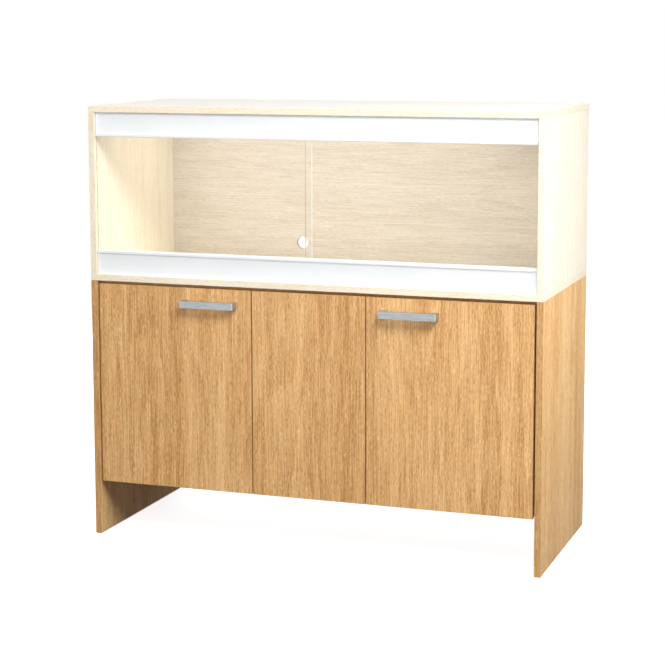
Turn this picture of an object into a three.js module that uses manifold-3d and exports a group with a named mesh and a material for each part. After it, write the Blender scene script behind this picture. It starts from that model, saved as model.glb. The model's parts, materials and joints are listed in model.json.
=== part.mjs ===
// A sliding-glass vivarium standing on a two-door cabinet.
// Millimetres, +Z up, +X to the right seen from the front, +Y towards the back.
// The origin is on the floor, under the middle of the whole object's box.

import * as THREE from 'three';
import { mergeVertices } from 'three/addons/utils/BufferGeometryUtils.js';
import Module from 'manifold-3d';

const wasm = await Module();
wasm.setup();

// ---------------------------------------------------------------- driving dimensions

// Both units
const WIDTH = 1150;
const DEPTH = 480; // from the boards' front edges to their back edges
const VIVARIUM_HEIGHT = 434;
const CABINET_HEIGHT = 648;
const BOARD = 16; // thickness of every main board, door and panel
const CLEARANCE = 0.3; // between pieces that fit in or turn in each other

// Back panels, each held in a groove round its edge
const BACK_INSET = 10; // from the boards' back edges to the panel's rear face
const VIVARIUM_BACK = 6;
const CABINET_BACK = 3;
const GROOVE_DEPTH = 8;
const CABLE_HOLE_RADIUS = 16;
const CABLE_HOLE_X = -184;
const CABLE_HOLE_HEIGHT = 40.5; // its centre, above the vivarium's floor

// White runners along the top and bottom of the glass opening
const RUNNER_HEIGHT = 60;
const RUNNER_BACK = 25; // behind the front edges
const WEB = 2;
const FLANGE_FRONT = 14;
const LIP_FRONT = 3.5;
const LIP_HEIGHT = 9.5;
const LIP_STEP = 2; // how far the lip stands out from the cove above it
const LIP_NOSE = 1.5; // radius of the lip's rounded edge
const COVE = 9; // radius where the web meets the tracks
const TRACK_WALL = 4; // from the lip's face to the front track
const TRACK_WIDTH = 5.5;
const TRACK_DIVIDER = 2.5;
const TRACK_FLOOR = 5;
const TOP_TRACK_DEPTH = 14;
const BOTTOM_TRACK_DEPTH = 6;

// Glass
const GLASS = 4;
const GLASS_OVERLAP = 19;
const GLASS_END_GAP = 1;
const GLASS_LIFT = 7.5; // free height in the top track, to lift a pane out

// Cabinet front
const DOOR_RECESS = 3;
const DOOR_BOTTOM = 137; // above the floor
const DOOR_TOP_GAP = 7.5;
const SIDE_GAP = 5; // between a side board and its door
const PANEL_GAP = 2.5; // between a door and the centre panel
const CENTRE_PANEL_WIDTH = 289;
const DOOR_BACK_GAP = 2; // between a door's back and the boards behind it
const FLOOR_BOARD_BOTTOM = 140;

// Bow handles, each on two legs
const HANDLE_CENTRES = 128;
const HANDLE_LEG = 14;
const HANDLE_HEIGHT = 18.5;
const HANDLE_REACH = 28; // from the door's face to the handle's
const HANDLE_BAR = 8;
const HANDLE_ROUND = 3;
const HANDLE_INSET = 37; // from the door's opening edge
const HANDLE_DROP = 29; // from the door's top edge

// Handle screws
const SCREW_RADIUS = 2;
const SCREW_HEAD_RADIUS = 4;
const SCREW_HEAD = 2.5;
const SCREW_IN_LEG = 12;

// Concealed hinges. Places are from the door's outer edge and from its back face.
const HINGE_FROM_END = 95;
const CUP_INSET = 22; // to the middle of the cup
const CUP_RADIUS = 17.4;
const CUP_WALL = 1.4;
const CUP_DEPTH = 11.3;
const CUP_FLOOR = 1;
const CUP_FLANGE = 1.4;
const CUP_FLANGE_WIDTH = 16;
const CUP_FLANGE_LENGTH = 62;
const CUP_SCREW_SPACING = 48;
const LINK_PIVOT_INSET = 13.8;
const LINK_PIVOT_DEPTH = 5.3; // behind the door's back face
const LINK_BOSS_RADIUS = 3;
const LINK_THICKNESS = 2.2;
const LINK_WIDTH = 10;
const LINK_SHANK = 17; // from its pivot to the middle of its hook
const LINK_HOOK_RADIUS = 6;
const LINK_HOOK_FROM = 15; // degrees round the hook
const LINK_HOOK_TO = -145;
const LINK_SWING = 69; // degrees that a link turns while its door opens
const PIN_RADIUS = 1.6;
const ARM_CHEEK = 2;
const ARM_GAP = 0.6; // between a cheek and the link
const ARM_RISE = 9; // the arm's inner face, from the door's edge
const ARM_KNUCKLE_RADIUS = 3.4;
const ARM_TAPER = 1; // how much nearer the door's edge the arm's inner face is half way along
const ARM_CRANK_START = 30; // behind the door's back face
const ARM_END = 68;
const PLATE = 3;
const PLATE_START = 24;
const PLATE_END = 70;
const PLATE_WIDTH = 18;
const PLATE_WING = 14;
const PLATE_WING_LENGTH = 46;
const PLATE_SCREW_LINE = 37; // behind the door's back face
const PLATE_SCREW_SPACING = 32;
const HINGE_SCREW_RADIUS = 3.5;
const HINGE_SCREW_HEAD = 1.2;

// Hardwood dowels
const DOWEL_RADIUS = 4;
const DOWEL_LENGTH = 30;
const DOWEL_IN_FACE = 10; // how deep a dowel sits in the face of a board
const DOWEL_SETBACK = 70; // from a joint's front and back edges
const PANEL_DOWEL_SETBACK = 100; // from the centre panel's ends

// Flats round a screw or dowel, a knuckle, and a cup or hole, and along a link's hook
const ROD_SIDES = 12;
const KNUCKLE_SIDES = 16;
const CUP_SIDES = 32;
const HOOK_STEPS = 8;

// ---------------------------------------------------------------- places that follow from them

const HALF_WIDTH = WIDTH / 2;
const INNER_HALF = HALF_WIDTH - BOARD;
const HEIGHT = CABINET_HEIGHT + VIVARIUM_HEIGHT;
const CHAMBER_FLOOR = CABINET_HEIGHT + BOARD;
const CHAMBER_CEILING = HEIGHT - BOARD;

const WEB_FRONT = RUNNER_BACK - WEB;
const FRONT_TRACK = LIP_FRONT + TRACK_WALL;
const REAR_TRACK = FRONT_TRACK + TRACK_WIDTH + TRACK_DIVIDER;

const DOOR_BACK = DOOR_RECESS + BOARD;
const DOOR_TOP = CABINET_HEIGHT - DOOR_TOP_GAP;
const DOOR_EDGE = INNER_HALF - SIDE_GAP; // outer edge, from the middle
const DOOR_OPENING_EDGE = CENTRE_PANEL_WIDTH / 2 + PANEL_GAP;
const CARCASS_FRONT = DOOR_BACK + DOOR_BACK_GAP;
const CABINET_FLOOR = FLOOR_BOARD_BOTTOM + BOARD;
const CABINET_CEILING = CABINET_HEIGHT - BOARD;

const VIVARIUM_GROOVE = DEPTH - BACK_INSET - VIVARIUM_BACK; // the panel's front face
const CABINET_GROOVE = DEPTH - BACK_INSET - CABINET_BACK;
const HANDLE_FRONT = DOOR_RECESS - HANDLE_REACH;

// ---------------------------------------------------------------- materials

const finish = (color, roughness, metalness = 0) =>
  new THREE.MeshStandardMaterial({ color, roughness, metalness });

const PALE_BOARD = finish(0xf5e9d0, 0.55);
const OAK_BOARD = finish(0xd4a36e, 0.55);
const WHITE_RUNNER = finish(0xf4f6f3, 0.35);
const CLEAR_GLASS = new THREE.MeshStandardMaterial({
  color: 0xe6f2ee, roughness: 0.05, transparent: true, opacity: 0.25,
});
const HARDBOARD = finish(0xc9a77c, 0.8);
const BRUSHED_ALUMINIUM = finish(0xa9adb2, 0.35, 0.9);
const PLATED_STEEL = finish(0xb8b8b4, 0.3, 1);
const BEECH = finish(0xd9bd8f, 0.7);

// ---------------------------------------------------------------- solids

/** A box between two corners. */
function block([x0, y0, z0], [x1, y1, z1]) {
  const geometry = new THREE.BoxGeometry(x1 - x0, y1 - y0, z1 - z0);
  return geometry.translate((x0 + x1) / 2, (y0 + y1) / 2, (z0 + z1) / 2);
}

/** A round bar from one point to another that lies straight along X, Y or Z from it. */
function bar(radius, from, to, sides = ROD_SIDES) {
  const start = new THREE.Vector3(...from);
  const run = new THREE.Vector3(...to).sub(start);
  const geometry = new THREE.CylinderGeometry(radius, radius, run.length(), sides);
  if (Math.abs(run.x) > 0) geometry.rotateZ(Math.PI / 2);
  if (Math.abs(run.z) > 0) geometry.rotateX(Math.PI / 2);
  return geometry.translate(...start.addScaledVector(run, 0.5));
}

/** A plan outline raised from one height to another. */
function raised(outline, low, high) {
  const geometry = new THREE.ExtrudeGeometry(outline, { depth: high - low, bevelEnabled: false });
  return geometry.translate(0, 0, low);
}

/** An outline in depth and height, drawn out along X about the middle. */
function drawnAlongX(outline, length) {
  const geometry = raised(outline, -length / 2, length / 2);
  const turn = new THREE.Matrix4().makeBasis(
    new THREE.Vector3(0, 1, 0), new THREE.Vector3(0, 0, 1), new THREE.Vector3(1, 0, 0),
  );
  return geometry.applyMatrix4(turn);
}

function solid(geometry) {
  const bare = geometry.clone();
  bare.deleteAttribute('normal');
  bare.deleteAttribute('uv');
  const merged = mergeVertices(bare);
  return new wasm.Manifold(new wasm.Mesh({
    numProp: 3,
    vertProperties: new Float32Array(merged.attributes.position.array),
    triVerts: new Uint32Array(merged.index.array),
  }));
}

function fromSolid(body) {
  const mesh = body.getMesh();
  const geometry = new THREE.BufferGeometry();
  geometry.setAttribute('position', new THREE.BufferAttribute(mesh.vertProperties, 3));
  geometry.setIndex(new THREE.BufferAttribute(mesh.triVerts, 1));
  const faceted = geometry.toNonIndexed();
  faceted.computeVertexNormals();
  return faceted;
}

/** Joins some geometries into one body, then cuts others out of it. */
function shaped(parts, cuts = []) {
  let body = solid(parts[0]);
  for (const part of parts.slice(1)) body = body.add(solid(part));
  for (const cut of cuts) body = body.subtract(solid(cut));
  return fromSolid(body);
}

/** A named mesh whose own origin is the middle of its box. */
function piece(name, geometry, material) {
  geometry.computeBoundingBox();
  const centre = geometry.boundingBox.getCenter(new THREE.Vector3());
  geometry.translate(-centre.x, -centre.y, -centre.z);
  const mesh = new THREE.Mesh(geometry, material);
  mesh.name = name;
  mesh.position.copy(centre);
  return mesh;
}

// ---------------------------------------------------------------- dowels and their bores

const dowels = new THREE.Group();

/**
 * Adds a dowel across the joint at `seat`, a point on the face that it enters.
 * `into` is the unit direction into that face. Gives the bore for both boards.
 */
function dowel(name, seat, into) {
  const at = (distance) => seat.map((value, axis) => value + into[axis] * distance);
  const inEdge = DOWEL_LENGTH - DOWEL_IN_FACE;
  dowels.add(piece(name, bar(DOWEL_RADIUS, at(-inEdge), at(DOWEL_IN_FACE)), BEECH));
  return bar(DOWEL_RADIUS + CLEARANCE, at(-inEdge - CLEARANCE), at(DOWEL_IN_FACE + CLEARANCE));
}

const SIDES = [['left', -1], ['right', 1]];
const FRONT_AND_BACK = [['front', DOWEL_SETBACK], ['rear', DEPTH - DOWEL_SETBACK]];

// ---------------------------------------------------------------- vivarium

/** The space that a back panel's groove takes out of the boards round it. */
function grooveRing(front, thickness, low, high) {
  return block(
    [-INNER_HALF - GROOVE_DEPTH, front - CLEARANCE, low - GROOVE_DEPTH],
    [INNER_HALF + GROOVE_DEPTH, front + thickness + CLEARANCE, high + GROOVE_DEPTH],
  );
}

/** A back panel that fills its groove but for a clearance at its edges. */
function backPanel(front, thickness, low, high) {
  const bite = GROOVE_DEPTH - CLEARANCE;
  return block(
    [-INNER_HALF - bite, front, low - bite],
    [INNER_HALF + bite, front + thickness, high + bite],
  );
}

function vivariumCarcass() {
  const group = new THREE.Group();
  const groove = grooveRing(VIVARIUM_GROOVE, VIVARIUM_BACK, CHAMBER_FLOOR, CHAMBER_CEILING);
  const bores = [];
  for (const [sideName, side] of SIDES) {
    for (const [endName, y] of FRONT_AND_BACK) {
      const x = side * (HALF_WIDTH - BOARD / 2);
      const label = `vivarium_dowel_${sideName}_${endName}`;
      bores.push(dowel(`${label}_top`, [x, y, CHAMBER_CEILING], [0, 0, 1]));
      bores.push(dowel(`${label}_bottom`, [x, y, CHAMBER_FLOOR], [0, 0, -1]));
    }
  }
  const cuts = [groove, ...bores];

  for (const [name, low] of [['bottom', CABINET_HEIGHT], ['top', CHAMBER_CEILING]]) {
    const board = block([-HALF_WIDTH, 0, low], [HALF_WIDTH, DEPTH, low + BOARD]);
    group.add(piece(`vivarium_${name}_board`, shaped([board], cuts), PALE_BOARD));
  }
  for (const [name, side] of SIDES) {
    const edges = [side * HALF_WIDTH, side * INNER_HALF].sort((a, b) => a - b);
    const board = block([edges[0], 0, CHAMBER_FLOOR], [edges[1], DEPTH, CHAMBER_CEILING]);
    group.add(piece(`vivarium_${name}_side`, shaped([board], cuts), PALE_BOARD));
  }

  const panel = backPanel(VIVARIUM_GROOVE, VIVARIUM_BACK, CHAMBER_FLOOR, CHAMBER_CEILING);
  const holeZ = CHAMBER_FLOOR + CABLE_HOLE_HEIGHT;
  const hole = bar(
    CABLE_HOLE_RADIUS,
    [CABLE_HOLE_X, VIVARIUM_GROOVE - BOARD, holeZ],
    [CABLE_HOLE_X, DEPTH + BOARD, holeZ],
    CUP_SIDES,
  );
  group.add(piece('vivarium_back_panel', shaped([panel], [hole]), PALE_BOARD));
  return group;
}

/**
 * A runner's section: a flange on the board, a web, a cove, and a head with two tracks.
 * `up` is 1 for the runner on the floor board and -1 for the one under the top board.
 */
function runnerSection(trackDepth, up) {
  const headStart = RUNNER_HEIGHT - trackDepth - TRACK_FLOOR;
  const lipStart = RUNNER_HEIGHT - LIP_HEIGHT;
  const trackEnd = RUNNER_HEIGHT - trackDepth;
  const outline = [[FLANGE_FRONT, 0], [RUNNER_BACK, 0], [RUNNER_BACK, RUNNER_HEIGHT]];
  for (const track of [REAR_TRACK, FRONT_TRACK]) {
    const far = track + TRACK_WIDTH;
    outline.push([far, RUNNER_HEIGHT], [far, trackEnd], [track, trackEnd], [track, RUNNER_HEIGHT]);
  }
  for (const turn of [0, 0.5, 1]) {
    const angle = (turn * Math.PI) / 2;
    outline.push([
      LIP_FRONT + LIP_NOSE * (1 - Math.sin(angle)),
      RUNNER_HEIGHT - LIP_NOSE * (1 - Math.cos(angle)),
    ]);
  }
  outline.push([LIP_FRONT, lipStart], [LIP_FRONT + LIP_STEP, lipStart]);
  outline.push([LIP_FRONT + LIP_STEP, headStart]);
  for (const turn of [0, 0.25, 0.5, 0.75, 1]) {
    const angle = (turn * Math.PI) / 2;
    outline.push([
      WEB_FRONT - COVE * (1 - Math.sin(angle)),
      headStart - COVE * (1 - Math.cos(angle)),
    ]);
  }
  outline.push([WEB_FRONT, WEB], [FLANGE_FRONT, WEB]);
  return new THREE.Shape(outline.map(([depth, rise]) => new THREE.Vector2(depth, up * rise)));
}

function runner(name, trackDepth, up, board) {
  const length = 2 * (INNER_HALF - CLEARANCE);
  const geometry = drawnAlongX(runnerSection(trackDepth, up), length);
  return piece(name, geometry.translate(0, 0, board), WHITE_RUNNER);
}

/** A pane that starts at one side of the opening and overlaps the other at the middle. */
function pane(name, side, track) {
  const length = (2 * (INNER_HALF - GLASS_END_GAP) + GLASS_OVERLAP) / 2;
  const outer = side * (INNER_HALF - GLASS_END_GAP);
  const edges = [outer, outer - side * length].sort((a, b) => a - b);
  const front = track + (TRACK_WIDTH - GLASS) / 2;
  const low = CHAMBER_FLOOR + RUNNER_HEIGHT - BOTTOM_TRACK_DEPTH + CLEARANCE;
  const high = CHAMBER_CEILING - RUNNER_HEIGHT + TOP_TRACK_DEPTH - GLASS_LIFT;
  return piece(name, block([edges[0], front, low], [edges[1], front + GLASS, high]), CLEAR_GLASS);
}

// ---------------------------------------------------------------- cabinet

function cabinetCarcass() {
  const group = new THREE.Group();
  const groove = grooveRing(CABINET_GROOVE, CABINET_BACK, CABINET_FLOOR, CABINET_CEILING);
  const shelves = [
    ['bottom', FLOOR_BOARD_BOTTOM],
    ['top', CABINET_CEILING],
  ];
  const bores = [];
  for (const [sideName, side] of SIDES) {
    for (const [endName, y] of FRONT_AND_BACK) {
      for (const [levelName, low] of shelves) {
        const name = `cabinet_dowel_${sideName}_${endName}_${levelName}`;
        bores.push(dowel(name, [side * INNER_HALF, y, low + BOARD / 2], [side, 0, 0]));
      }
    }
  }
  bores.push(dowel('partition_dowel_top', [0, DEPTH / 2, CABINET_CEILING], [0, 0, 1]));
  bores.push(dowel('partition_dowel_bottom', [0, DEPTH / 2, CABINET_FLOOR], [0, 0, -1]));
  for (const [name, z] of [
    ['bottom', DOOR_BOTTOM + PANEL_DOWEL_SETBACK],
    ['top', DOOR_TOP - PANEL_DOWEL_SETBACK],
  ]) {
    bores.push(dowel(`centre_panel_dowel_${name}`, [0, DOOR_BACK, z], [0, -1, 0]));
  }
  const cuts = [groove, ...bores];

  for (const [name, side] of SIDES) {
    const edges = [side * HALF_WIDTH, side * INNER_HALF].sort((a, b) => a - b);
    const board = block([edges[0], 0, 0], [edges[1], DEPTH, CABINET_HEIGHT]);
    group.add(piece(`cabinet_${name}_side`, shaped([board], cuts), OAK_BOARD));
  }
  for (const [name, low] of shelves) {
    const board = block([-INNER_HALF, CARCASS_FRONT, low], [INNER_HALF, DEPTH, low + BOARD]);
    group.add(piece(`cabinet_${name}_board`, shaped([board], cuts), OAK_BOARD));
  }
  const partition = block(
    [-BOARD / 2, DOOR_BACK, CABINET_FLOOR],
    [BOARD / 2, CABINET_GROOVE - CLEARANCE, CABINET_CEILING],
  );
  group.add(piece('cabinet_partition', shaped([partition], bores), OAK_BOARD));

  const panel = backPanel(CABINET_GROOVE, CABINET_BACK, CABINET_FLOOR, CABINET_CEILING);
  group.add(piece('cabinet_back_panel', panel, HARDBOARD));

  const half = CENTRE_PANEL_WIDTH / 2;
  const front = block([-half, DOOR_RECESS, DOOR_BOTTOM], [half, DOOR_BACK, DOOR_TOP]);
  group.add(piece('cabinet_centre_panel', shaped([front], bores), OAK_BOARD));
  return group;
}

/** The heights of a door's two hinges. */
const HINGE_HEIGHTS = [
  ['lower', DOOR_BOTTOM + HINGE_FROM_END],
  ['upper', DOOR_TOP - HINGE_FROM_END],
];

/** Where a handle's two legs stand, along X, and the middle of its height. */
const HANDLE_Z = DOOR_TOP - HANDLE_DROP - HANDLE_HEIGHT / 2;
const LEG_NEAR = DOOR_OPENING_EDGE + HANDLE_INSET + HANDLE_LEG / 2;
const HANDLE_LEGS = [['inner', LEG_NEAR], ['outer', LEG_NEAR + HANDLE_CENTRES]];

/** The bores for the handle screws, through the door and into the legs. */
function screwBores(side) {
  return HANDLE_LEGS.map(([, x]) => bar(
    SCREW_RADIUS + CLEARANCE,
    [side * x, DOOR_BACK + BOARD, HANDLE_Z],
    [side * x, DOOR_RECESS - SCREW_IN_LEG - CLEARANCE, HANDLE_Z],
  ));
}

function door(name, side) {
  const edges = [side * DOOR_EDGE, side * DOOR_OPENING_EDGE].sort((a, b) => a - b);
  const panel = block([edges[0], DOOR_RECESS, DOOR_BOTTOM], [edges[1], DOOR_BACK, DOOR_TOP]);
  const cupX = side * (DOOR_EDGE - CUP_INSET);
  const cupBores = HINGE_HEIGHTS.map(([, z]) => bar(
    CUP_RADIUS + CLEARANCE,
    [cupX, DOOR_BACK - CUP_DEPTH - CLEARANCE, z],
    [cupX, DOOR_BACK + BOARD, z],
    CUP_SIDES,
  ));
  return piece(`${name}_door`, shaped([panel], [...cupBores, ...screwBores(side)]), OAK_BOARD);
}

/** A flat bar bent back at both ends into a leg that meets the door. */
function handle(name, side) {
  const near = HANDLE_LEGS[0][1] - HANDLE_LEG / 2;
  const far = HANDLE_LEGS[1][1] + HANDLE_LEG / 2;
  const inner = HANDLE_FRONT + HANDLE_BAR;
  const round = (x, y, from, to) => [0, 0.5, 1].map((turn) => {
    const angle = from + (to - from) * turn;
    return [x + HANDLE_ROUND * Math.cos(angle), y + HANDLE_ROUND * Math.sin(angle)];
  });
  const outline = [
    [near, DOOR_RECESS],
    ...round(near + HANDLE_ROUND, HANDLE_FRONT + HANDLE_ROUND, Math.PI, 1.5 * Math.PI),
    ...round(far - HANDLE_ROUND, HANDLE_FRONT + HANDLE_ROUND, 1.5 * Math.PI, 2 * Math.PI),
    [far, DOOR_RECESS],
    [far - HANDLE_LEG, DOOR_RECESS],
    ...round(far - HANDLE_LEG - HANDLE_ROUND, inner + HANDLE_ROUND, 0, -0.5 * Math.PI),
    ...round(near + HANDLE_LEG + HANDLE_ROUND, inner + HANDLE_ROUND, 1.5 * Math.PI, Math.PI),
    [near + HANDLE_LEG, DOOR_RECESS],
  ];
  const shape = new THREE.Shape(outline.map(([x, y]) => new THREE.Vector2(side * x, y)));
  const bow = raised(shape, HANDLE_Z - HANDLE_HEIGHT / 2, HANDLE_Z + HANDLE_HEIGHT / 2);
  return piece(`${name}_handle`, shaped([bow], screwBores(side)), BRUSHED_ALUMINIUM);
}

function handleScrew(name, side, x) {
  const tip = [side * x, DOOR_RECESS - SCREW_IN_LEG, HANDLE_Z];
  const seat = [side * x, DOOR_BACK, HANDLE_Z];
  const top = [side * x, DOOR_BACK + SCREW_HEAD, HANDLE_Z];
  const screw = shaped([bar(SCREW_RADIUS, tip, top), bar(SCREW_HEAD_RADIUS, seat, top)]);
  return piece(name, screw, PLATED_STEEL);
}

// ---------------------------------------------------------------- hinges

/**
 * The four pieces of a hinge, in a frame at the door's outer edge and back face:
 * +Y into the cabinet, Z from the hinge's middle, and X times `side` away from the side board.
 */
function hinge(name, side) {
  const group = new THREE.Group();
  const inward = -side;
  const outline = (points) => new THREE.Shape(
    points.map(([x, y]) => new THREE.Vector2(inward * x, y)),
  );
  const box = ([x0, y0, z0], [x1, y1, z1]) => block(
    [Math.min(inward * x0, inward * x1), y0, z0],
    [Math.max(inward * x0, inward * x1), y1, z1],
  );
  const rod = (radius, [x0, y0, z0], [x1, y1, z1], sides) => bar(
    radius, [inward * x0, y0, z0], [inward * x1, y1, z1], sides,
  );

  // Cup and flange, on the door
  const flange = box(
    [CUP_INSET - CUP_FLANGE_WIDTH / 2, 0, -CUP_FLANGE_LENGTH / 2],
    [CUP_INSET + CUP_FLANGE_WIDTH / 2, CUP_FLANGE, CUP_FLANGE_LENGTH / 2],
  );
  const cup = rod(
    CUP_RADIUS, [CUP_INSET, -CUP_DEPTH, 0], [CUP_INSET, CUP_FLANGE / 2, 0], CUP_SIDES,
  );
  const hollow = rod(
    CUP_RADIUS - CUP_WALL,
    [CUP_INSET, CUP_FLOOR - CUP_DEPTH, 0],
    [CUP_INSET, CUP_DEPTH, 0],
    CUP_SIDES,
  );
  const cupScrews = [-1, 1].map((end) => rod(
    HINGE_SCREW_RADIUS,
    [CUP_INSET, CUP_FLANGE / 2, (end * CUP_SCREW_SPACING) / 2],
    [CUP_INSET, CUP_FLANGE + HINGE_SCREW_HEAD, (end * CUP_SCREW_SPACING) / 2],
  ));
  const cupBody = shaped([cup, flange, ...cupScrews], [hollow]);
  group.add(piece(`${name}_hinge_cup`, cupBody, PLATED_STEEL));

  // Mounting plate, on the side board
  const plateFace = PLATE - SIDE_GAP;
  const spine = box(
    [-SIDE_GAP, PLATE_START, -PLATE_WIDTH / 2],
    [plateFace, PLATE_END, PLATE_WIDTH / 2],
  );
  const wing = box(
    [-SIDE_GAP, PLATE_SCREW_LINE - PLATE_WING / 2, -PLATE_WING_LENGTH / 2],
    [plateFace, PLATE_SCREW_LINE + PLATE_WING / 2, PLATE_WING_LENGTH / 2],
  );
  const plateScrews = [-1, 1].map((end) => rod(
    HINGE_SCREW_RADIUS,
    [plateFace - PLATE / 2, PLATE_SCREW_LINE, (end * PLATE_SCREW_SPACING) / 2],
    [plateFace + HINGE_SCREW_HEAD, PLATE_SCREW_LINE, (end * PLATE_SCREW_SPACING) / 2],
  ));
  const plateBody = shaped([spine, wing, ...plateScrews]);
  group.add(piece(`${name}_hinge_plate`, plateBody, PLATED_STEEL));

  // Cranked arm, forked round the link, with the link's pin across the fork
  const armFoot = plateFace + CLEARANCE;
  const slotHalf = LINK_WIDTH / 2 + ARM_GAP;
  const armHalf = slotHalf + ARM_CHEEK;
  const pivot = [LINK_PIVOT_INSET, LINK_PIVOT_DEPTH];
  const slotEnd = pivot[1] + ARM_KNUCKLE_RADIUS + ARM_GAP;
  const halfWay = (pivot[1] + ARM_CRANK_START) / 2;
  const crank = outline([
    [pivot[0] - ARM_KNUCKLE_RADIUS, pivot[1]],
    [pivot[0] + ARM_KNUCKLE_RADIUS, pivot[1]],
    [pivot[0] + ARM_KNUCKLE_RADIUS - ARM_TAPER, halfWay],
    [ARM_RISE, ARM_CRANK_START],
    [ARM_RISE, ARM_END],
    [armFoot, ARM_END],
    [armFoot, ARM_CRANK_START - ARM_KNUCKLE_RADIUS],
    [ARM_RISE - ARM_KNUCKLE_RADIUS, halfWay],
  ]);
  const knuckle = rod(
    ARM_KNUCKLE_RADIUS, [...pivot, -armHalf], [...pivot, armHalf], KNUCKLE_SIDES,
  );
  const slot = box(
    [-LINK_PIVOT_INSET, pivot[1] - ARM_END, -slotHalf],
    [ARM_END, slotEnd, slotHalf],
  );
  const pin = rod(PIN_RADIUS, [...pivot, -armHalf], [...pivot, armHalf]);
  const forked = solid(raised(crank, -armHalf, armHalf)).add(solid(knuckle)).subtract(solid(slot));
  group.add(piece(`${name}_hinge_arm`, fromSolid(forked.add(solid(pin))), PLATED_STEEL));

  // Hooked link, from the arm's pin into the cup, drawn with the door shut
  const centreLine = [[0, 0]];
  for (let step = 0; step <= HOOK_STEPS; step += 1) {
    const sweep = LINK_HOOK_FROM + ((LINK_HOOK_TO - LINK_HOOK_FROM) * step) / HOOK_STEPS;
    const angle = THREE.MathUtils.degToRad(sweep);
    centreLine.push([
      LINK_HOOK_RADIUS * Math.cos(angle),
      LINK_HOOK_RADIUS * Math.sin(angle) - LINK_SHANK,
    ]);
  }
  const shut = THREE.MathUtils.degToRad(LINK_SWING);
  const centre = new THREE.Vector2();
  const turned = centreLine.map(([x, y]) => new THREE.Vector2(x, y).rotateAround(centre, shut));
  const strip = ribbon(turned, LINK_THICKNESS / 2).map(([x, y]) => [x + pivot[0], y + pivot[1]]);
  const halfLink = LINK_WIDTH / 2;
  const boss = rod(
    LINK_BOSS_RADIUS, [...pivot, -halfLink], [...pivot, halfLink], KNUCKLE_SIDES,
  );
  const eye = rod(PIN_RADIUS + CLEARANCE, [...pivot, -LINK_WIDTH], [...pivot, LINK_WIDTH]);
  const linkBody = shaped([boss, raised(outline(strip), -halfLink, halfLink)], [eye]);
  group.add(piece(`${name}_hinge_link`, linkBody, PLATED_STEEL));
  return group;
}

/** The outline of a strip of even thickness along a line of points. */
function ribbon(points, half) {
  const left = [];
  const right = [];
  points.forEach((point, index) => {
    const before = points[Math.max(index - 1, 0)];
    const after = points[Math.min(index + 1, points.length - 1)];
    const along = after.clone().sub(before).normalize();
    left.push([point.x - along.y * half, point.y + along.x * half]);
    right.unshift([point.x + along.y * half, point.y - along.x * half]);
  });
  return [...left, ...right];
}

// ---------------------------------------------------------------- assembly

function assembly() {
  const whole = new THREE.Group();
  whole.add(vivariumCarcass(), cabinetCarcass(), dowels);
  whole.add(runner('vivarium_bottom_runner', BOTTOM_TRACK_DEPTH, 1, CHAMBER_FLOOR));
  whole.add(runner('vivarium_top_runner', TOP_TRACK_DEPTH, -1, CHAMBER_CEILING));
  whole.add(pane('left_glass', -1, FRONT_TRACK), pane('right_glass', 1, REAR_TRACK));
  for (const [name, side] of SIDES) {
    whole.add(door(name, side), handle(name, side));
    for (const [end, x] of HANDLE_LEGS) {
      whole.add(handleScrew(`${name}_handle_screw_${end}`, side, x));
    }
    for (const [level, z] of HINGE_HEIGHTS) {
      const fitted = hinge(`${name}_${level}`, side);
      fitted.position.set(side * DOOR_EDGE, DOOR_BACK, z);
      whole.add(fitted);
    }
  }
  whole.position.y = -(HANDLE_FRONT + DEPTH) / 2;
  const root = new THREE.Group();
  root.add(whole);
  return root;
}

export default assembly();
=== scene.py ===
"""A sliding-glass vivarium standing on a two-door cabinet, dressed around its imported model.

Metres, +Z up, +X to the right seen from the front, +Y towards the back.
"""

import json
import math

import bmesh
import bpy
from mathutils import Matrix, Vector


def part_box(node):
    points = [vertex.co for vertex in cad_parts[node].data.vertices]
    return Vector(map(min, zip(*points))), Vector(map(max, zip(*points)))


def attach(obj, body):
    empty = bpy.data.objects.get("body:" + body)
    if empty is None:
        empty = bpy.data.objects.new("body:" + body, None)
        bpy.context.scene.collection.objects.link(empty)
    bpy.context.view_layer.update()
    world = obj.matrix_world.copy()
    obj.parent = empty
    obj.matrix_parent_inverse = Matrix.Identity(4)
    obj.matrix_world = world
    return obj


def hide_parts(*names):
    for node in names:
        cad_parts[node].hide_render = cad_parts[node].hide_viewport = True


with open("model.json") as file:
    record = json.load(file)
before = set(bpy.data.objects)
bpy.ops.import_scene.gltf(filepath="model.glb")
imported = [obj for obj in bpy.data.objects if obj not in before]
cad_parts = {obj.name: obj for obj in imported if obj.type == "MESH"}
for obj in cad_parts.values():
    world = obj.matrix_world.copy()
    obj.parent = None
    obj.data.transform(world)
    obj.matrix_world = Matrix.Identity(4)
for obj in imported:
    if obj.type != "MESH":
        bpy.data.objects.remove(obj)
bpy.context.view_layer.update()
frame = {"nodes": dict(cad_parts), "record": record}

X, Y, Z = 0, 1, 2

# ------------------------ sizes

CLEARANCE = 0.0003  # between pieces that fit in each other

# Boards
BOARD_ROUND = 0.0008  # radius of a board's edges
BAND = 0.001  # thickness of the edging strip
THIN_ROUND = 0.0003  # radius of a back panel's edges
CABLE_HOLE_RADIUS = 0.016
BORE_OVERRUN = 0.01  # how far a bore's tool stands out of the board
SQUARE_ON = 0.9  # a face is on a side when its normal points there by more than this

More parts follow.
